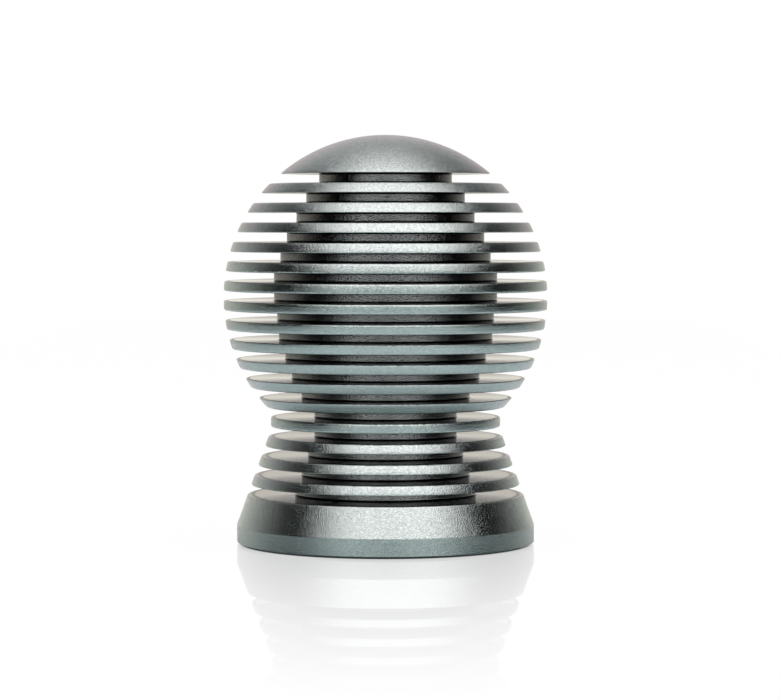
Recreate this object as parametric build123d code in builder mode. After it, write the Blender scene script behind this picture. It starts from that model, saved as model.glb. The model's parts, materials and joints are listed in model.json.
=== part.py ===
"""Gear shift knob: a ball on a flared foot, turned from one bar of aluminium and ringed by deep cooling grooves,
with a brass thread adapter screwed into the foot for the gear lever.

Millimetres. +Z runs up the knob's axis, and the origin is the middle of the foot's flat bottom face.
"""

import math
import os

from build123d import *

# Outside of the turned body, before the grooves are cut
BALL_RADIUS = 25.0
NECK_RADIUS = 17.75  # straight neck between the ball and the flared foot
FOOT_RADIUS = 23.0
FOOT_BAND_HEIGHT = 3.0  # upright band round the bottom of the foot
FLARE_ANGLE = 19.7  # slope of the flared foot away from the axis, in degrees
FOOT_EDGE_BREAK = 0.4  # chamfer where the band meets the bottom face

# Grooves and the fins that they leave
CAP_HEIGHT = 6.0  # solid cap above the first groove
FOOT_HEIGHT = 7.65  # solid foot below the last groove
FIN_THICKNESS = 1.5
GROOVE_WIDTH = 1.5
FIN_EDGE_BREAK = 0.15  # chamfer on the lips of every groove

# Diameters of the groove floors, from the cap down
BALL_FLOORS = (20.5, 24.5, 27.5, 30.5, 32.5, 34.5, 34.5, 33.5, 33.0, 31.0, 29.0, 26.0)
NECK_FLOORS = (22.0, 22.0, 24.0, 26.0, 28.0)

# Thread adapter, and the tapped hole that holds it. Threads are plain cylinders here.
ADAPTER_RADIUS = 8.0  # M16 outside thread
ADAPTER_LENGTH = 20.0
ADAPTER_RECESS = 0.5  # its lower face stands inside the foot's bottom face
LEVER_HOLE_RADIUS = 4.25  # tapping drill for the lever's M10 thread
THREAD_CLEARANCE = 0.05  # between the two plain cylinders that stand for the M16 thread
THREAD_CHAMFER = 0.8  # lead-in at every thread end
COUNTERSINK_ANGLE = 90.0  # included angle of the lead-in at the hole's mouth
SLOT_WIDTH = 2.5  # screwdriver slot across the adapter's lower face
SLOT_DEPTH = 2.0
TAPPING_RUN_OUT = 4.0  # hole depth beyond the seated adapter
DRILL_POINT_ANGLE = 118.0  # included angle at the bottom of the hole

# Places worked out from the sizes above
GROOVE_FLOORS = BALL_FLOORS + NECK_FLOORS
PITCH = FIN_THICKNESS + GROOVE_WIDTH
GROOVED_HEIGHT = len(GROOVE_FLOORS) * PITCH - FIN_THICKNESS
HEIGHT = FOOT_HEIGHT + GROOVED_HEIGHT + CAP_HEIGHT
BALL_CENTRE = HEIGHT - BALL_RADIUS
FLARE_TAPER = math.tan(math.radians(FLARE_ANGLE))
FLARE_HEIGHT = (FOOT_RADIUS - NECK_RADIUS) / FLARE_TAPER
HOLE_RADIUS = ADAPTER_RADIUS + THREAD_CLEARANCE
HOLE_DEPTH = ADAPTER_RECESS + ADAPTER_LENGTH + TAPPING_RUN_OUT
DRILL_POINT_HEIGHT = HOLE_RADIUS / math.tan(math.radians(DRILL_POINT_ANGLE / 2))


def outside_radius(height):
    """Radius of the body before grooving: the widest of ball, neck and flared foot at that height."""
    ball = math.sqrt(max(BALL_RADIUS**2 - (height - BALL_CENTRE) ** 2, 0.0))
    if height > BALL_CENTRE:
        return ball
    flare = FOOT_RADIUS - FLARE_TAPER * max(height - FOOT_BAND_HEIGHT, 0.0)
    return max(ball, NECK_RADIUS, flare)


def groove_middle(index):
    """Height of the middle of a groove, counted from the cap down."""
    return HEIGHT - CAP_HEIGHT - GROOVE_WIDTH / 2 - index * PITCH


def is_groove_lip(corner):
    """True for a corner of the half section where a groove opens through the outside."""
    is_between_cap_and_foot = FOOT_HEIGHT / 2 < corner.Y < HEIGHT - CAP_HEIGHT / 2
    return is_between_cap_and_foot and corner.X > outside_radius(corner.Y) - FIN_EDGE_BREAK


# Knob body: half of its section is drawn on the XZ plane and revolved
with BuildPart() as knob_body:
    with BuildSketch(Plane.XZ) as half_section:
        with Locations((0, BALL_CENTRE)):
            Circle(BALL_RADIUS)
        Rectangle(2 * NECK_RADIUS, BALL_CENTRE, align=(Align.CENTER, Align.MIN))
        Rectangle(2 * FOOT_RADIUS, FOOT_BAND_HEIGHT, align=(Align.CENTER, Align.MIN))
        with Locations((0, FOOT_BAND_HEIGHT)):
            Trapezoid(2 * FOOT_RADIUS, FLARE_HEIGHT, 90 - FLARE_ANGLE, align=(Align.CENTER, Align.MIN))
        for index, floor_diameter in enumerate(GROOVE_FLOORS):
            with Locations((floor_diameter / 2, groove_middle(index))):
                Rectangle(
                    BALL_RADIUS + FOOT_RADIUS,  # well past the outside
                    GROOVE_WIDTH,
                    align=(Align.MIN, Align.CENTER),
                    mode=Mode.SUBTRACT,
                )
        split(bisect_by=Plane.YZ)
        foot_corner = half_section.vertices().group_by(Axis.Y)[0].sort_by(Axis.X)[-1]
        chamfer(foot_corner, FOOT_EDGE_BREAK)
        chamfer(half_section.vertices().filter_by(is_groove_lip), FIN_EDGE_BREAK)
    revolve(axis=Axis.Z)
    with Locations(Plane.XY.offset(HOLE_DEPTH)):
        Cone(
            HOLE_RADIUS,
            0,
            DRILL_POINT_HEIGHT,
            align=(Align.CENTER, Align.CENTER, Align.MIN),
            mode=Mode.SUBTRACT,
        )
    with Locations(Plane.XY.rotated((180, 0, 0))):
        CounterSinkHole(HOLE_RADIUS, HOLE_RADIUS + THREAD_CHAMFER, HOLE_DEPTH, COUNTERSINK_ANGLE)
knob_body.part.label = "knob_body"

# Thread adapter: a slotted bush, threaded outside for the body and inside for the lever
with BuildPart() as thread_adapter:
    with BuildSketch(Plane.XY.offset(ADAPTER_RECESS)):
        Circle(ADAPTER_RADIUS)
        Circle(LEVER_HOLE_RADIUS, mode=Mode.SUBTRACT)
    extrude(amount=ADAPTER_LENGTH)
    chamfer(thread_adapter.edges().filter_by(GeomType.CIRCLE), THREAD_CHAMFER)
    with BuildSketch(Plane.XY.offset(ADAPTER_RECESS)):
        Rectangle(2 * ADAPTER_RADIUS, SLOT_WIDTH)
    extrude(amount=SLOT_DEPTH, mode=Mode.SUBTRACT)
thread_adapter.part.label = "thread_adapter"

os.makedirs("parts", exist_ok=True)
for piece in (knob_body.part, thread_adapter.part):
    export_step(piece, f"parts/{piece.label}.step")
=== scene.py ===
"""Gear shift knob: a finned ball on a flared foot, turned from anodised aluminium, with a brass adapter.

Metres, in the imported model's own frame: +Z runs up the knob's axis from the middle of the foot's flat bottom.
"""

import json
import math

import bmesh
import bpy
import numpy as np
from bpy.props import FloatProperty, FloatVectorProperty, PointerProperty
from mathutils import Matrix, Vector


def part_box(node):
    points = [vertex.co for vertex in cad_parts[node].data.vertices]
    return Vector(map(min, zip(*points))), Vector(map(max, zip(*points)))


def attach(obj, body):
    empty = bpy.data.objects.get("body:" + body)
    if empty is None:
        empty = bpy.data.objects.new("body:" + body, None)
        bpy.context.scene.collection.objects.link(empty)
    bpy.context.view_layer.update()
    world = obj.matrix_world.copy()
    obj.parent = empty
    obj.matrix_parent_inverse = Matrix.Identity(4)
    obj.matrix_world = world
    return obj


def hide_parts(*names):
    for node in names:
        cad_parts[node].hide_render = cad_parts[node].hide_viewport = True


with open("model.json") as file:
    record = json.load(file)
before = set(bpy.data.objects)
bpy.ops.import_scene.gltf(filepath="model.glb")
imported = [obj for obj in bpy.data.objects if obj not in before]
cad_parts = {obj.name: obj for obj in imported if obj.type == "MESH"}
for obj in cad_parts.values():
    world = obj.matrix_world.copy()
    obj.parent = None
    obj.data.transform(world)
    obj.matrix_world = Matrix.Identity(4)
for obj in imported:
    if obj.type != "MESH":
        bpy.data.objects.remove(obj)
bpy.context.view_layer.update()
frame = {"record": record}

bl_info = {
    "name": "Gear Shift Knob",
    "version": (1, 0, 0),
    "blender": (4, 5, 0),
    "location": "3D View > Sidebar > Knob",
    "description": "Turned aluminium gear shift knob with a brass thread adapter, on a white studio table",
    "category": "Add Mesh",
}

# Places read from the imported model
BODY_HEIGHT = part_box("knob_body")[1][2]
ADAPTER_LOW, ADAPTER_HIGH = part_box("thread_adapter")
ADAPTER_RADIUS = ADAPTER_HIGH[0]
ADAPTER_BOTTOM = ADAPTER_LOW[2]
ADAPTER_TOP = ADAPTER_HIGH[2]
LEVER_THREAD = next(mount for mount in frame["record"]["mounts"] if mount["name"] == "lever_thread")
LEVER_HOLE_RADIUS = LEVER_THREAD["dims"]["r_mm"] / 1000

# Fineness of the meshes
BODY_COLUMNS = 240  # round the knob
CAP_ROWS = 32
FIN_ROWS = 2  # on the outside of each fin
ROUND_STEPS = np.linspace(0.0, 1.0, 4)  # along each rounded edge
ADAPTER_COLUMNS = 96
ROWS_PER_THREAD = 12
MERGE_DISTANCE = 1e-7
SHARP_ANGLE = math.radians(40)  # two faces that meet at more than this have a sharp edge between them
SLOPE_STEP = 1e-6  # height over which the outside's slope is measured

# Wave of a thread, which is cut off at 0 and 1 for its flats
THREAD_RISE = 2.6  # steepness, where 2 just reaches from crest to root
THREAD_CUT = 0.2  # how far below 0 it starts

# How open a row of the body's section is to the blasting
FLAT_OPENNESS = 0.0  # flat faces and corners inside the grooves
FLOOR_OPENNESS = 0.5
OUTSIDE_OPENNESS = 1.0

# Patterns in the metals
NOISE_MIDDLE = 0.5  # average of a noise texture
SPECKLE_SHARE = 0.8  # of the tint, which takes the rest from the patches
TINT_RANGE = (0.3, 0.7)  # of that pattern, from the body's colour to its shade
DULL_RANGE = (0.35, 0.75)  # of the clouds, from clean to dull brass
WAVE_BAND = 0.3  # width of a wave texture's bands at scale 1
QUARTER_TURN = 0.25  # of the anisotropy, so that light spreads across the lathe's marks

# Stage
WHITE = (1.0, 1.0, 1.0)
TABLE_IOR = 1.5
STAND_GAP = 0.02  # from the camera back to its stand
REFLECTOR_GAP = 0.07  # from the camera back to the reflector
TABLE_IMAGE_DEPTH = 2.5  # mirrored rays below this depth show what the camera sees in the table

# Where the studio's walls change colour, as parts of a direction of length 1
GLOW_RISE = (-0.02, 0.02)  # upwards, into the lit foot of the back wall
GLOW_FALL = (0.03, 0.1)  # upwards, out of that foot
MIDDLE_RISE = (0.1, 0.2)  # upwards, into the wall's middle
TOP_RISE = (0.2, 0.42)  # upwards, into the wall's top
TOP_FALL = (0.03, 0.12)  # sideways and squared, from the middle of that top to its sides
BACK_RISE = (0.08, 0.92)  # backwards, from the dark walls to the back wall


def length(name, description, default):
    """A size in metres that a user may change."""
    return FloatProperty(
        name=name,
        description=description,
        default=default,
        min=0.0,
        precision=5,
        subtype="DISTANCE",
        unit="LENGTH",
    )


def diameters(name, description, default):
    """A row of diameters in metres that a user may change."""
    return FloatVectorProperty(
        name=name,
        description=description,
        default=default,
        size=len(default),
        min=0.0,
        precision=5,
        unit="LENGTH",
    )


def angle(name, description, degrees):
    """An angle that a user may change, given here in degrees."""
    return FloatProperty(name=name, description=description, default=math.radians(degrees), subtype="ANGLE")


def colour(name, description, default):
    """A linear colour that a user may change."""
    return FloatVectorProperty(
        name=name, description=description, default=default, size=3, min=0.0, max=1.0, subtype="COLOR"
    )


def share(name, description, default):
    """A part of the whole, from 0 to 1, that a user may change."""
    return FloatProperty(
        name=name, description=description, default=default, min=0.0, max=1.0, subtype="FACTOR"
    )


def brightness(name, description, default):
    """A brightness that a user may change, where 1 is that of a white wall."""
    return FloatProperty(name=name, description=description, default=default, min=0.0)


class KnobBodySizes(bpy.types.PropertyGroup):
    """Sizes of the turned body"""

    ball_radius: length("Ball Radius", "Radius of the ball before it is grooved", 0.025)
    neck_radius: length("Neck Radius", "Radius of the straight neck under the ball", 0.01775)
    foot_radius: length("Foot Radius", "Radius of the upright band round the foot", 0.023)
    band_height: length("Band Height", "Height of the upright band round the foot", 0.003)
    flare_angle: angle("Flare Angle", "Slope of the flared foot away from the axis", 19.7)
    band_edge_round: length("Band Edge Round", "Rounding of the edge between the band and the flare", 0.0001)
    foot_edge_break: length("Foot Edge Break", "Height of the foot's broken bottom edge", 0.0004)
    foot_edge_depth: length("Foot Edge Depth", "How far that edge reaches in under the foot", 0.0008)
    cap_height: length("Cap Height", "Height of the solid cap above the first groove", 0.006)
    fin_thickness: length("Fin Thickness", "Thickness of each fin between two grooves", 0.0015)
    groove_width: length("Groove Width", "Width of each groove between two fins", 0.0015)
    fin_edge_round: length("Fin Edge Round", "Rounding of both lips of every groove", 0.00028)
    floor_round: length("Floor Round", "Rounding of both corners of every groove's floor", 0.0003)
    blast_reach: length("Blast Reach", "How far the blasting reaches in under the next fin", 0.0008)
    ball_floors: diameters(
        "Ball Groove Floors",
        "Diameter of each groove's floor in the ball, from the cap down",
        (0.0205, 0.0245, 0.0275, 0.0305, 0.0325, 0.0345, 0.0345, 0.0335, 0.033, 0.031, 0.029, 0.026),
    )
    neck_floors: diameters(
        "Neck Groove Floors",
        "Diameter of each groove's floor in the neck and the flare, from the ball down",
        (0.022, 0.022, 0.024, 0.026, 0.028),
    )
    hole_clearance: length("Hole Clearance", "Gap between the tapped hole and the adapter", 0.00005)
    hole_run_out: length("Hole Run-out", "Hole depth beyond the seated adapter", 0.004)
    mouth_chamfer: length("Mouth Chamfer", "Lead-in at the mouth of the tapped hole", 0.0008)
    drill_point_angle: angle("Drill Point Angle", "Included angle at the end of the tapped hole", 118)


class ThreadAdapterSizes(bpy.types.PropertyGroup):
    """Sizes of the brass thread adapter"""

    pitch: length("Thread Pitch", "Pitch of the thread inside and of the thread outside", 0.0015)
    inner_depth: length("Inner Thread Depth", "Depth of the lever's thread, out from its crests", 0.00075)
    outer_depth: length("Outer Thread Depth", "Depth of the body's thread, in from its crests", 0.00092)
    end_chamfer: length("End Chamfer", "Lead-in at both ends of both threads", 0.0008)
    slot_width: length("Slot Width", "Width of the screwdriver slot across the lower face", 0.0025)
    slot_depth: length("Slot Depth", "Depth of the screwdriver slot", 0.002)


class KnobFinish(bpy.types.PropertyGroup):
    """Colours and grain of the two metals"""

    body_colour: colour("Body Colour", "Gunmetal of the anodised aluminium", (0.334, 0.423, 0.407))
    body_shade: colour("Body Shade", "Darker specks in the anodised aluminium", (0.266, 0.337, 0.324))
    body_roughness: share("Body Roughness", "Roughness of the blasted outside", 0.17)
    grain_size: length("Grain Size", "Width of the dimples left by bead blasting", 0.00014)
    grain_depth: length("Grain Depth", "Height of the grain between those dimples", 0.0000287)
    speckle_size: length("Speckle Size", "Width of the lighter and darker specks in the anodising", 0.0003)
    patch_size: length("Patch Size", "Width of its duller patches", 0.0014)
    patch_roughness: share("Patch Roughness", "Range of the roughness over those patches", 0.06)
    # The groove floors are given a darker colour than the outside.
    floor_colour: colour("Floor Colour", "Anodising on the groove floors", (0.265, 0.283, 0.279))
    floor_edge_tint: colour("Floor Edge Tint", "What floors reflect at a glancing view", (0.5, 0.5, 0.5))
    floor_roughness: share("Floor Roughness", "Roughness of the groove floors", 0.15)
    floor_grain_size: length("Floor Grain Size", "Width of the dimples in the groove floors", 0.00024)
    floor_grain_depth: length("Floor Grain Depth", "Height of the grain in the groove floors", 0.00004)
    # The flat faces in the grooves are given a much darker colour than the outside.
    flat_colour: colour("Flat Colour", "Anodising on the flat faces in the grooves", (0.12, 0.128, 0.128))
    flat_roughness: share("Flat Roughness", "Roughness of the flat faces in the grooves", 0.13)
    lathe_marks: share("Lathe Marks", "How much light those faces spread across the lathe's marks", 1.0)
    brass_colour: colour("Brass Colour", "Freshly turned brass", (0.76, 0.56, 0.24))
    brass_shade: colour("Brass Shade", "Brass dulled by handling", (0.55, 0.38, 0.15))
    brass_roughness: share("Brass Roughness", "Roughness of clean brass", 0.18)
    cloud_size: length("Cloud Size", "Width of the dull clouds in the brass", 0.0025)
    cloud_roughness: share("Cloud Roughness", "Roughness that those clouds add", 0.25)
    tool_mark_size: length("Tool Mark Size", "Distance between the lathe's marks in the brass", 0.0002)
    tool_mark_depth: length("Tool Mark Depth", "Depth of those marks", 0.00001)
    tool_mark_strength: share("Tool Mark Strength", "How strongly those marks show", 0.3)


class StudioSettings(bpy.types.PropertyGroup):
    """Camera, light and table"""

    camera_distance: length("Camera Distance", "From the knob's axis to the camera", 0.45833)
    camera_height: length("Camera Height", "Above the table", 0.05029)
    camera_side: length("Camera Side", "To the right of the knob's axis", 0.00069)
    camera_tilt: angle("Camera Tilt", "Downwards from level", 2.544)
    camera_lens: FloatProperty(
        name="Camera Lens",
        description="Focal length in millimetres",
        default=136.81,
        subtype="DISTANCE_CAMERA",
    )
    softbox_width: length("Softbox Width", "From side to side", 1.1)
    softbox_length: length("Softbox Length", "From its lower front edge to its upper back edge", 4.6)
    softbox_back: length("Softbox Back", "How far its middle hangs behind the knob's axis", 0.847)
    softbox_height: length("Softbox Height", "Height of its middle above the table", 2.037)
    softbox_tilt: angle("Softbox Tilt", "Its slope away from level", 53.0)
    softbox_turn: angle("Softbox Turn", "Its turn about the knob's axis, with its front to the right", 7.0)
    softbox_spread: angle("Softbox Spread", "Full angle of its beam", 170.0)
    softbox_colour: colour("Softbox Colour", "Tint of the softbox", (1.0, 0.832, 0.852))
    softbox_radiance: brightness("Softbox Radiance", "Brightness of the softbox against a white wall", 2.62)
    reflector_width: length("Reflector Width", "Width of the white card under the softbox", 1.29)
    reflector_height: length("Reflector Height", "Height of that card", 0.21)
    reflector_side: length("Reflector Side", "How far it stands to the right of the knob's axis", 0.08)
    reflector_glow: brightness("Reflector Glow", "Brightness of that card against a white wall", 1.12)
    stand_width: length("Stand Width", "Width of the dark camera stand", 0.08)
    stand_height: length("Stand Height", "Height of the dark camera stand", 0.35)
    dark_walls: colour("Dark Walls", "Walls in front and at the sides", (0.006, 0.006, 0.006))
    back_glow: colour("Back Glow", "Foot of the wall behind the knob, lit by the table", (1.0, 0.965, 0.87))
    back_wall: colour("Back Wall", "Cream wall behind the knob", (0.75, 0.715, 0.645))
    back_middle: colour("Back Middle", "That wall at the height of the knob's flanks", (0.885, 0.72, 0.745))
    back_top: colour("Back Top", "Top of that wall, lit by the softbox", (0.85, 0.775, 0.79))
    back_top_side: colour("Back Top Side", "Top of that wall beside the softbox's light", (0.56, 0.51, 0.52))
    ambient: colour("Ambient", "Light from all round on matt surfaces", (0.15, 0.15, 0.15))
    table_half_width: length("Table Half Width", "From the knob's axis to the table's sides", 0.15)
    table_front: length("Table Front", "From the knob's axis to the table's front edge", 0.55)
    table_back: length("Table Back", "From the knob's axis to the table's back edge", 1.0)
    table_colour: colour("Table Colour", "White of the table", (0.74, 0.87, 0.89))
    table_shade: colour("Table Shade", "The same white in the shade round the foot", (0.44, 0.52, 0.53))
    shade_end: length("Shade End", "Distance from the axis where that shade ends", 0.05)
    table_glow: share("Table Glow", "How much of the table's white doesn't fall away in the shadow", 0.98)
    metal_glow: share("Metal Glow", "How much of that glow metal sees beside the lit table", 0.1)
    # Painted contact shadow: in this rim the table doesn't glow, so its painted darker shade and its rendered
    # shadow show.
    contact_shadow_width: length("Contact Width", "Dark rim of the table just inside the foot's edge", 0.0012)
    mirror_share: share("Mirror Share", "Strength of the table's mirror image at the foot", 0.65)
    mirror_start: length("Mirror Start", "Distance from the axis where the mirror image is strongest", 0.023)
    mirror_end: length("Mirror End", "Distance from the axis where the mirror image has faded", 0.15)


class Wire:
    """An output socket of a node tree. Operators on it add Math nodes, and node adds any other node."""

    def __init__(self, tree, socket=None):
        self.tree = tree
        self.socket = socket

    def node(self, kind, settings=None, sockets=None):
        """A new node of that type, with its settings set first and then its inputs, by name or by place. Each
        input takes a value or a Wire. The answer is a Wire from the node's first output."""
        made = self.tree.nodes.new(kind)
        for name, value in (settings or {}).items():
            setattr(made, name, value)
        in_use = [socket for socket in made.inputs if socket.enabled]
        by_name = {socket.name: socket for socket in reversed(in_use)}
        for key, value in (sockets or {}).items():
            target = by_name[key] if isinstance(key, str) else in_use[key]
            if isinstance(value, Wire):
                self.tree.links.new(value.socket, target)
            else:
                target.default_value = value
        outputs = [socket for socket in made.outputs if socket.enabled]
        return Wire(self.tree, outputs[0] if outputs else None)

    def output(self, name):
        """Another output of the same node."""
        return Wire(self.tree, self.socket.node.outputs[name])

    def math(self, operation, first, second):
        """A Math node on two values or Wires."""
        return self.node("ShaderNodeMath", {"operation": operation}, {0: first, 1: second})

    def __add__(self, other):
        return self.math("ADD", self, other)

    def __radd__(self, other):
        return self.math("ADD", other, self)

    def __sub__(self, other):
        return self.math("SUBTRACT", self, other)

    def __rsub__(self, other):
        return self.math("SUBTRACT", other, self)

    def __mul__(self, other):
        return self.math("MULTIPLY", self, other)

    def __rmul__(self, other):
        return self.math("MULTIPLY", other, self)

    def __pow__(self, other):
        return self.math("POWER", self, other)

    def __rpow__(self, other):
        return self.math("POWER", other, self)

    def at_most(self, limit):
        """The smaller of this value and the limit."""
        return self.math("MINIMUM", self, limit)

    def less_than(self, limit):
        """1 where this value is below the limit, and 0 elsewhere."""
        return self.math("LESS_THAN", self, limit)

    def between(self, low, high):
        """0 up to low, 1 from high on, and a smooth rise between them."""
        settings = {"interpolation_type": "SMOOTHSTEP"}
        return self.node("ShaderNodeMapRange", settings, {"Value": self, "From Min": low, "From Max": high})

    def falling(self, start, end):
        """1 up to start, 0 from end on, and a straight fall between them."""
        ends = {"From Min": start, "From Max": end, "To Min": 1.0, "To Max": 0.0}
        return self.node("ShaderNodeMapRange", {}, {"Value": self, **ends})

    def blend(self, first, second):
        """A colour that goes from the first to the second as this value goes from 0 to 1."""
        settings = {"data_type": "RGBA"}
        return self.node("ShaderNodeMix", settings, {"Factor": self, "A": opaque(first), "B": opaque(second)})

    def mix(self, first, second):
        """A shader that goes from the first to the second as this value goes from 0 to 1."""
        return self.node("ShaderNodeMixShader", {}, {0: self, 1: first, 2: second})


def opaque(value):
    """A colour with its alpha, or a Wire as it is."""
    return value if isinstance(value, Wire) else (*value, 1.0)


def new_material(name):
    """An empty material, and a Wire to start its nodes from."""
    material = bpy.data.materials.new(name)
    material.use_nodes = True
    material.node_tree.nodes.clear()
    return material, Wire(material.node_tree)


def metal(nodes, sockets):
    """A metal shader with those values and links."""
    return nodes.node("ShaderNodeBsdfPrincipled", {}, {"Metallic": 1.0, **sockets})


def blots(nodes, place, width, detail):
    """Noise from 0 to 1 with blots of that width."""
    return nodes.node("ShaderNodeTexNoise", {}, {"Vector": place, "Scale": 1 / width, "Detail": detail})


def dimples(nodes, place, width, depth, reached):
    """Bump of round dimples where the blasting reached: in each Voronoi cell the height is the square of the
    distance from its middle."""
    cells = nodes.node("ShaderNodeTexVoronoi", {"feature": "F1"}, {"Vector": place, "Scale": 1 / width})
    height = cells.output("Distance") ** 2 * reached
    return nodes.node("ShaderNodeBump", {}, {"Strength": 1.0, "Distance": depth, "Height": height})


def anodised_aluminium(finish):
    """Bead-blasted and anodised aluminium in three finishes, by how open the surface was to the blasting. The
    outside has fine dimples and an even speckle of lighter and darker specks. The groove floors are given a
    darker colour, have coarser dimples and stay dark at a glancing view. The flat faces in the grooves are
    given a much darker colour and keep the lathe's marks."""
    material, nodes = new_material("anodised_aluminium")
    place = nodes.node("ShaderNodeTexCoord").output("Object")
    openness = nodes.node("ShaderNodeAttribute", {"attribute_name": "openness"}).output("Fac")
    reached = openness.between(FLAT_OPENNESS, FLOOR_OPENNESS)
    patches = blots(nodes, place, finish.patch_size, detail=4.0)
    speckle = blots(nodes, place, finish.speckle_size, detail=1.0)
    tint = (speckle * SPECKLE_SHARE + patches * (1 - SPECKLE_SHARE)).between(*TINT_RANGE)
    blasted = metal(
        nodes,
        {
            "Base Color": tint.blend(finish.body_colour, finish.body_shade),
            "Roughness": finish.body_roughness + (patches - NOISE_MIDDLE) * finish.patch_roughness,
            "Normal": dimples(nodes, place, finish.grain_size, finish.grain_depth, reached),
        },
    )
    floor = metal(
        nodes,
        {
            "Base Color": opaque(finish.floor_colour),
            "Roughness": finish.floor_roughness,
            "Specular Tint": opaque(finish.floor_edge_tint),
            "Normal": dimples(nodes, place, finish.floor_grain_size, finish.floor_grain_depth, reached),
        },
    )
    flat = metal(
        nodes,
        {
            "Base Color": opaque(finish.flat_colour),
            "Roughness": finish.flat_roughness,
            "Anisotropic": finish.lathe_marks,
            "Anisotropic Rotation": QUARTER_TURN,
        },
    )
    inside = reached.mix(flat, floor)
    shader = openness.between(FLOOR_OPENNESS, OUTSIDE_OPENNESS).mix(inside, blasted)
    nodes.node("ShaderNodeOutputMaterial", {}, {"Surface": shader})
    return material


def brass(finish):
    """Turned brass: fine marks of the lathe run round its axis, and it is duller in cloudy patches."""
    material, nodes = new_material("brass")
    place = nodes.node("ShaderNodeTexCoord").output("Object")
    clouds = blots(nodes, place, finish.cloud_size, detail=5.0)
    marks = nodes.node(
        "ShaderNodeTexWave",
        {"wave_type": "BANDS", "bands_direction": "Z", "wave_profile": "SIN"},
        {"Vector": place, "Scale": WAVE_BAND / finish.tool_mark_size, "Distortion": 1.5, "Detail": 2.0},
    )
    relief = {"Strength": finish.tool_mark_strength, "Distance": finish.tool_mark_depth, "Height": marks}
    shader = metal(
        nodes,
        {
            "Base Color": clouds.between(*DULL_RANGE).blend(finish.brass_colour, finish.brass_shade),
            "Roughness": finish.brass_roughness + clouds * finish.cloud_roughness,
            "Normal": nodes.node("ShaderNodeBump", {}, relief),
        },
    )
    nodes.node("ShaderNodeOutputMaterial", {}, {"Surface": shader})
    return material


def white_table(studio):
    """White table top that glows white to the camera and a little to metal, and keeps a soft shadow. It is
    darker in the shade round the foot, doesn't glow under the foot, and holds a sharp mirror image of what
    stands on it, which fades with the distance from the knob's axis. It is clear from below."""
    material, nodes = new_material("white_table")
    place = nodes.node("ShaderNodeTexCoord").output("Object")
    distance = nodes.node("ShaderNodeVectorMath", {"operation": "LENGTH"}, {0: place}).output("Value")
    path = nodes.node("ShaderNodeLightPath")
    from_camera = path.output("Is Camera Ray")

    lit = nodes.node("ShaderNodeBsdfDiffuse", {}, {"Color": opaque(studio.table_colour)})
    shaded = nodes.node("ShaderNodeBsdfDiffuse", {}, {"Color": opaque(studio.table_shade)})
    matt = distance.between(studio.mirror_start, studio.shade_end).mix(shaded, lit)

    glow = nodes.node("ShaderNodeEmission", {}, {"Color": opaque(WHITE), "Strength": 1.0})
    seen_in_metal = path.output("Is Glossy Ray") * studio.metal_glow
    seen = (from_camera + path.output("Is Transmission Ray") + seen_in_metal).at_most(1.0)
    # Painted contact shadow: the glow stops in a rim just inside the foot's edge.
    beside_foot = distance.between(studio.mirror_start - studio.contact_shadow_width, studio.mirror_start)
    top = (seen * beside_foot * studio.table_glow).mix(matt, glow)

    mirror = nodes.node("ShaderNodeBsdfGlossy", {}, {"Color": opaque(WHITE), "Roughness": 0.0})
    gloss = nodes.node("ShaderNodeFresnel", {}, {"IOR": TABLE_IOR})
    fading = distance.falling(studio.mirror_start, studio.mirror_end) * studio.mirror_share
    polished = (gloss * (1.0 - from_camera * (1.0 - fading))).mix(top, mirror)

    clear = nodes.node("ShaderNodeBsdfTransparent")
    underside = nodes.node("ShaderNodeNewGeometry").output("Backfacing")
    nodes.node("ShaderNodeOutputMaterial", {}, {"Surface": underside.mix(polished, clear)})
    return material


def card(name, strength):
    """An evenly lit card, which only metal shows."""
    material, nodes = new_material(name)
    lit = nodes.node("ShaderNodeEmission", {}, {"Color": opaque(WHITE), "Strength": strength})
    nodes.node("ShaderNodeOutputMaterial", {}, {"Surface": lit})
    return material


def flat_panel(name, corners, material):
    """A flat staging panel with those four corners."""
    mesh = bpy.data.meshes.new(name)
    mesh.from_pydata(corners, [], [(0, 1, 2, 3)])
    mesh.materials.append(material)
    piece = bpy.data.objects.new(name, mesh)
    bpy.context.scene.collection.objects.link(piece)
    return piece


def standing_card(name, middle, width, place, height, strength):
    """A card that stands across Y at that place, faces the knob and shows in nothing but metal."""
    left, right = middle - width / 2, middle + width / 2
    corners = [(right, place, 0.0), (left, place, 0.0), (left, place, height), (right, place, height)]
    piece = flat_panel(name, corners, card(name, strength))
    piece.visible_camera = False
    piece.visible_diffuse = False
    piece.visible_shadow = False


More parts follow.
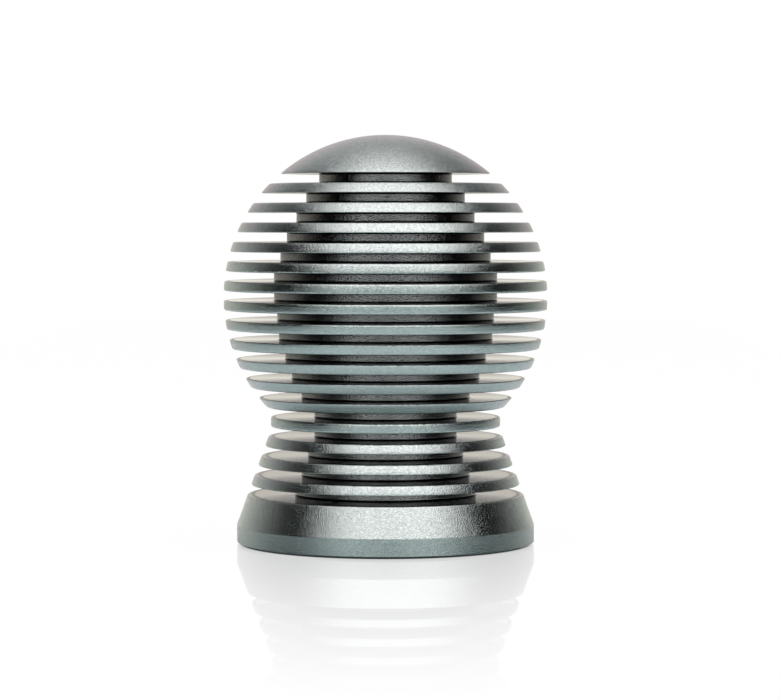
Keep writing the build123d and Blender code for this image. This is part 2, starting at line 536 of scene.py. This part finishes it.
def studio_walls(studio):
    """World of the studio: pure white to the camera and in the table's mirror, a plain grey light on matt
    surfaces, and for metal a cream wall behind and dark walls in front and at the sides. The back wall
    changes in steps from its lit foot to its top, whose sides are dimmer. All walls are turned as the softbox
    is. What metal shows depends on how far the direction points upwards, sideways and backwards."""
    world = bpy.data.worlds.new("studio_walls")
    world.use_nodes = True
    world.node_tree.nodes.clear()
    nodes = Wire(world.node_tree)
    direction = nodes.node("ShaderNodeTexCoord")
    along = nodes.node("ShaderNodeSeparateXYZ", {}, {0: direction})
    right, back, up = (along.output(axis) for axis in "XYZ")
    cosine, sine = math.cos(studio.softbox_turn), math.sin(studio.softbox_turn)
    sideways = right * cosine + back * sine
    backwards = back * cosine - right * sine

    lit_foot = up.between(*GLOW_RISE) - up.between(*GLOW_FALL)
    low = lit_foot.blend(studio.back_wall, studio.back_glow)
    middle = up.between(*MIDDLE_RISE).blend(low, studio.back_middle)
    top = (sideways * sideways).between(*TOP_FALL).blend(studio.back_top, studio.back_top_side)
    behind = up.between(*TOP_RISE).blend(middle, top)
    walls = backwards.between(*BACK_RISE).blend(studio.dark_walls, behind)

    path = nodes.node("ShaderNodeLightPath")
    lit = path.output("Is Glossy Ray").blend(studio.ambient, walls)
    table_image = path.output("Is Singular Ray") * path.output("Ray Depth").less_than(TABLE_IMAGE_DEPTH)
    white = (path.output("Is Camera Ray") + table_image + path.output("Is Transmission Ray")).at_most(1.0)
    shown = {"Color": white.blend(lit, WHITE), "Strength": 1.0}
    background = nodes.node("ShaderNodeBackground", {}, shown)
    nodes.node("ShaderNodeOutputWorld", {}, {"Surface": background})
    return world


def hang_softbox(studio):
    """The softbox, hung over the knob and behind it. Its power is pi times its radiance times its area."""
    lamp = bpy.data.lights.new("softbox", "AREA")
    lamp.shape = "RECTANGLE"
    lamp.size = studio.softbox_width
    lamp.size_y = studio.softbox_length
    lamp.spread = studio.softbox_spread
    lamp.color = studio.softbox_colour
    lamp.energy = studio.softbox_radiance * math.pi * studio.softbox_width * studio.softbox_length
    softbox = bpy.data.objects.new("softbox", lamp)
    softbox.location = (
        -studio.softbox_back * math.sin(studio.softbox_turn),
        studio.softbox_back * math.cos(studio.softbox_turn),
        studio.softbox_height,
    )
    softbox.rotation_euler = (studio.softbox_tilt, 0.0, studio.softbox_turn)
    softbox.visible_camera = False
    bpy.context.scene.collection.objects.link(softbox)


def set_camera(studio):
    """The camera, in front of the knob and tilted down a little."""
    lens = bpy.data.cameras.new("camera")
    lens.lens = studio.camera_lens
    camera = bpy.data.objects.new("camera", lens)
    camera.location = (studio.camera_side, -studio.camera_distance, studio.camera_height)
    camera.rotation_euler = (math.pi / 2 - studio.camera_tilt, 0.0, 0.0)
    bpy.context.scene.collection.objects.link(camera)
    bpy.context.scene.camera = camera


def grid_object(name, points, openness, is_ring):
    """Mesh object from a grid of points, rows by columns. Neighbours make quads, the columns close round the
    axis, and the rows of a ring close too. Points that fall together, as at a pole, become one. Each row's
    openness to the blasting becomes an attribute."""
    index = np.arange(points.shape[0] * points.shape[1]).reshape(points.shape[:2])
    if is_ring:
        index = np.vstack([index, index[:1]])
    beside = np.roll(index, -1, axis=1)
    quads = np.stack([index[:-1], index[1:], beside[1:], beside[:-1]], axis=-1)
    mesh = bpy.data.meshes.new(name)
    mesh.from_pydata(points.reshape(-1, 3).tolist(), [], quads.reshape(-1, 4).tolist())
    layer = mesh.attributes.new("openness", "FLOAT", "POINT")
    layer.data.foreach_set("value", np.repeat(openness, points.shape[1]).astype(np.float32))
    shell = bmesh.new()
    shell.from_mesh(mesh)
    bmesh.ops.remove_doubles(shell, verts=shell.verts, dist=MERGE_DISTANCE)
    shell.to_mesh(mesh)
    shell.free()
    piece = bpy.data.objects.new(name, mesh)
    bpy.context.scene.collection.objects.link(piece)
    return piece


def turned(radius, height, columns):
    """Points of a turned surface: each row's radius and height carried round the axis. The radius may also
    differ from column to column."""
    around = np.linspace(0.0, 2 * np.pi, columns, endpoint=False)
    radius = np.broadcast_to(radius.reshape(len(height), -1), (len(height), columns))
    level = np.broadcast_to(height[:, None], radius.shape)
    return np.stack([radius * np.cos(around), radius * np.sin(around), level], -1)


def outside_radius(sizes, height):
    """Radius before grooving: the ball above its middle, and below it the widest of ball, neck and flare."""
    centre = BODY_HEIGHT - sizes.ball_radius
    ball = np.sqrt(np.clip(sizes.ball_radius**2 - (height - centre) ** 2, 0.0, None))
    flare = sizes.foot_radius - math.tan(sizes.flare_angle) * np.clip(height - sizes.band_height, 0.0, None)
    below = np.maximum(np.maximum(ball, sizes.neck_radius), flare)
    return np.where(height > centre, ball, below)


def rounded(start, corner, end):
    """Points of a smooth curve from start to end that stands in for the sharp corner between them: a
    parabola, pulled towards the corner. Many corners can be given at once, along the first axis."""
    along = ROUND_STEPS[:, None]
    weights = [(1 - along) ** 2, 2 * along * (1 - along), along**2]
    return sum(weight * np.expand_dims(point, -2) for weight, point in zip(weights, (start, corner, end)))


def lip_start(sizes, height, way):
    """Where the rounding of a groove's lip starts on the outside, above it (way 1) or below it (way -1): the
    rounding's length along the outside's slope."""
    rise = outside_radius(sizes, height + SLOPE_STEP) - outside_radius(sizes, height - SLOPE_STEP)
    away = height + way * sizes.fin_edge_round / np.hypot(1.0, rise / (2 * SLOPE_STEP))
    return np.stack([outside_radius(sizes, away), away], -1)


def groove_section(sizes):
    """Radius and height along every groove, and the openness of those points: from its upper lip in along the
    fin above, down the floor and out along the fin below to its lower lip."""
    floor = np.array([*sizes.ball_floors, *sizes.neck_floors]) / 2
    pitch = sizes.fin_thickness + sizes.groove_width
    upper = BODY_HEIGHT - sizes.cap_height - pitch * np.arange(len(floor))
    lower = upper - sizes.groove_width
    upper_lip = outside_radius(sizes, upper)
    lower_lip = outside_radius(sizes, lower)
    shielded = np.minimum(upper_lip, lower_lip) - sizes.blast_reach
    roof = rounded(
        lip_start(sizes, upper, way=1),
        np.stack([upper_lip, upper], -1),
        np.stack([upper_lip - sizes.fin_edge_round, upper], -1),
    )
    upper_limit = np.stack([shielded, upper], -1)[:, None]
    upper_corner = rounded(
        np.stack([floor + sizes.floor_round, upper], -1),
        np.stack([floor, upper], -1),
        np.stack([floor, upper - sizes.floor_round], -1),
    )
    lower_corner = rounded(
        np.stack([floor, lower + sizes.floor_round], -1),
        np.stack([floor, lower], -1),
        np.stack([floor + sizes.floor_round, lower], -1),
    )
    lower_limit = np.stack([shielded, lower], -1)[:, None]
    ledge = rounded(
        np.stack([lower_lip - sizes.fin_edge_round, lower], -1),
        np.stack([lower_lip, lower], -1),
        lip_start(sizes, lower, way=-1),
    )
    points = np.concatenate([roof, upper_limit, upper_corner, lower_corner, lower_limit, ledge], axis=1)
    lip = np.full(len(ROUND_STEPS), OUTSIDE_OPENNESS)
    limit = np.array([FLAT_OPENNESS])
    corner = np.append(np.full(len(ROUND_STEPS) - 1, FLAT_OPENNESS), FLOOR_OPENNESS)
    openness = np.concatenate([lip, limit, corner, corner[::-1], limit, lip])
    return points, openness


def knob_section(sizes):
    """Radius and height along half of the knob's section, and the openness of those points: from the top down
    the cap's arc, in and out of every groove, along each fin's outside, down the flared foot, across its
    bottom face, and up the tapped hole to its drill point."""
    grooves, groove_openness = groove_section(sizes)
    fin_height = np.linspace(grooves[:-1, -1, 1], grooves[1:, 0, 1], FIN_ROWS + 2)[1:-1].T
    fins = np.stack([outside_radius(sizes, fin_height), fin_height], -1)
    finned = np.concatenate([grooves[:-1], fins], axis=1).reshape(-1, 2)
    fin_openness = np.append(groove_openness, np.full(FIN_ROWS, OUTSIDE_OPENNESS))

    centre = BODY_HEIGHT - sizes.ball_radius
    cap_end = math.asin((grooves[0, 0, 1] - centre) / sizes.ball_radius)
    slope = np.linspace(np.pi / 2, cap_end, CAP_ROWS)[:-1]
    cap = np.stack([sizes.ball_radius * np.cos(slope), centre + sizes.ball_radius * np.sin(slope)], -1)

    above_band = sizes.band_height + sizes.band_edge_round
    band_edge = rounded(
        np.array([outside_radius(sizes, above_band), above_band]),
        np.array([sizes.foot_radius, sizes.band_height]),
        np.array([sizes.foot_radius, sizes.band_height - sizes.band_edge_round]),
    )
    hole_radius = ADAPTER_RADIUS + sizes.hole_clearance
    hole_depth = ADAPTER_TOP + sizes.hole_run_out
    drill_point = hole_radius / math.tan(sizes.drill_point_angle / 2)
    bottom = np.array(
        [
            [sizes.foot_radius, sizes.foot_edge_break],
            [sizes.foot_radius - sizes.foot_edge_depth, 0.0],
            [hole_radius + sizes.mouth_chamfer, 0.0],
        ]
    )
    hole = np.array(
        [
            [hole_radius, sizes.mouth_chamfer],
            [hole_radius, hole_depth],
            [0.0, hole_depth + drill_point],
        ]
    )
    points = np.concatenate([cap, finned, grooves[-1], band_edge, bottom, hole])
    openness = np.concatenate(
        [
            np.full(len(cap), OUTSIDE_OPENNESS),
            np.tile(fin_openness, len(fins)),
            groove_openness,
            np.full(len(band_edge) + len(bottom), OUTSIDE_OPENNESS),
            np.full(len(hole), FLAT_OPENNESS),
        ]
    )
    return points, openness


def thread_wave(height, pitch, columns):
    """0 at a thread's crest and 1 at its root, with short flats at both: a zigzag of the height, in turns of
    the pitch, less the share of a turn round the axis."""
    around = np.arange(columns) / columns
    turns = height[:, None] / pitch - around
    return np.clip(np.abs(turns % 1.0 - 0.5) * THREAD_RISE - THREAD_CUT, 0.0, 1.0)


def adapter_surface(sizes):
    """Points of the threaded bush, a ring: down its outside thread, in along the lower face and up its inside
    thread. Chamfers at both ends cut the crests of both threads."""
    rows = round((ADAPTER_TOP - ADAPTER_BOTTOM) / sizes.pitch * ROWS_PER_THREAD) + 1
    height = np.linspace(ADAPTER_BOTTOM, ADAPTER_TOP, rows)
    wave = thread_wave(height, sizes.pitch, ADAPTER_COLUMNS)
    from_end = np.minimum(height - ADAPTER_BOTTOM, ADAPTER_TOP - height)[:, None]
    chamfer = np.clip(sizes.end_chamfer - from_end, 0.0, None)
    outer = ADAPTER_RADIUS - np.maximum(sizes.outer_depth * wave, chamfer)
    inner = LEVER_HOLE_RADIUS + np.maximum(sizes.inner_depth * wave, chamfer)
    radius = np.concatenate([outer[::-1], inner])
    return turned(radius, np.concatenate([height[::-1], height]), ADAPTER_COLUMNS)


def cut_slot(piece, sizes):
    """Cuts a screwdriver slot into the adapter's lower face, along X, with a block that is removed again."""
    half = np.array([2 * ADAPTER_RADIUS, sizes.slot_width / 2, sizes.slot_depth])
    middle = np.array([0.0, 0.0, ADAPTER_BOTTOM])
    mesh = bpy.data.meshes.new("slot_block")
    shell = bmesh.new()
    bmesh.ops.create_cube(shell, size=2.0)
    shell.to_mesh(mesh)
    shell.free()
    corners = np.empty(len(mesh.vertices) * 3)
    mesh.vertices.foreach_get("co", corners)
    mesh.vertices.foreach_set("co", (corners.reshape(-1, 3) * half + middle).ravel())
    block = bpy.data.objects.new("slot_block", mesh)
    bpy.context.scene.collection.objects.link(block)
    cut = piece.modifiers.new("slot", "BOOLEAN")
    cut.operation = "DIFFERENCE"
    cut.solver = "EXACT"
    cut.object = block
    whole = piece.evaluated_get(bpy.context.evaluated_depsgraph_get())
    slotted = bpy.data.meshes.new_from_object(whole)
    piece.modifiers.remove(cut)
    old = piece.data
    piece.data = slotted
    bpy.data.meshes.remove(old)
    slotted.name = piece.name
    bpy.data.objects.remove(block)
    bpy.data.meshes.remove(mesh)


def dress(piece, material, node):
    """Smooth faces with sharp edges between them and the material, with the CAD node hidden and the piece
    attached to the root.
    """
    piece.data.shade_smooth()
    piece.data.set_sharp_from_angle(angle=SHARP_ANGLE)
    weights = piece.modifiers.new("flat_faces", "WEIGHTED_NORMAL")
    weights.keep_sharp = True
    piece.data.materials.clear()
    piece.data.materials.append(material)
    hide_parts(node)
    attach(piece, "root")


class KNOB_OT_turn_body(bpy.types.Operator):
    """Turn the finned aluminium body"""

    bl_idname = "knob.turn_body"
    bl_label = "Turn Body"

    def execute(self, context):
        section, openness = knob_section(context.scene.knob_body_sizes)
        points = turned(section[:, 0], section[:, 1], BODY_COLUMNS)
        piece = grid_object("turned_body", points, openness, is_ring=False)
        dress(piece, anodised_aluminium(context.scene.knob_finish), "knob_body")
        return {"FINISHED"}


class KNOB_OT_cut_adapter(bpy.types.Operator):
    """Cut the brass thread adapter"""

    bl_idname = "knob.cut_adapter"
    bl_label = "Cut Thread Adapter"

    def execute(self, context):
        sizes = context.scene.thread_adapter_sizes
        points = adapter_surface(sizes)
        openness = np.full(len(points), FLAT_OPENNESS)
        piece = grid_object("threaded_adapter", points, openness, is_ring=True)
        cut_slot(piece, sizes)
        dress(piece, brass(context.scene.knob_finish), "thread_adapter")
        return {"FINISHED"}


class KNOB_OT_set_stage(bpy.types.Operator):
    """Set the table, walls, softbox and camera"""

    bl_idname = "knob.set_stage"
    bl_label = "Set Stage"

    def execute(self, context):
        studio = context.scene.knob_studio

        wide, front, back = studio.table_half_width, -studio.table_front, studio.table_back
        corners = [(-wide, front, 0.0), (wide, front, 0.0), (wide, back, 0.0), (-wide, back, 0.0)]
        flat_panel("table", corners, white_table(studio))

        standing_card(
            "camera_stand",
            middle=0.0,
            width=studio.stand_width,
            place=-studio.camera_distance - STAND_GAP,
            height=studio.stand_height,
            strength=0.0,
        )
        standing_card(
            "reflector",
            middle=studio.reflector_side,
            width=studio.reflector_width,
            place=-studio.camera_distance - REFLECTOR_GAP,
            height=studio.reflector_height,
            strength=studio.reflector_glow,
        )

        hang_softbox(studio)
        context.scene.world = studio_walls(studio)
        context.scene.view_settings.view_transform = "Standard"
        set_camera(studio)
        return {"FINISHED"}


OPERATORS = (KNOB_OT_turn_body, KNOB_OT_cut_adapter, KNOB_OT_set_stage)
SETTINGS = {
    "knob_body_sizes": KnobBodySizes,
    "thread_adapter_sizes": ThreadAdapterSizes,
    "knob_finish": KnobFinish,
    "knob_studio": StudioSettings,
}


class KNOB_PT_sidebar(bpy.types.Panel):
    """The knob's sizes, finishes and operators"""

    bl_idname = "KNOB_PT_sidebar"
    bl_label = "Gear Shift Knob"
    bl_space_type = "VIEW_3D"
    bl_region_type = "UI"
    bl_category = "Knob"

    def draw(self, context):
        for operator in OPERATORS:
            self.layout.operator(operator.bl_idname)
        for name, group in SETTINGS.items():
            box = self.layout.box()
            for field in group.__annotations__:
                box.prop(getattr(context.scene, name), field)


CLASSES = (*SETTINGS.values(), *OPERATORS, KNOB_PT_sidebar)


def register():
    for item in CLASSES:
        bpy.utils.register_class(item)
    for name, group in SETTINGS.items():
        setattr(bpy.types.Scene, name, PointerProperty(type=group))


def unregister():
    for name in SETTINGS:
        delattr(bpy.types.Scene, name)
    for item in reversed(CLASSES):
        bpy.utils.unregister_class(item)


def main():
    register()
    bpy.ops.knob.turn_body()
    bpy.ops.knob.cut_adapter()
    bpy.ops.knob.set_stage()


if __name__ == "__main__":
    main()
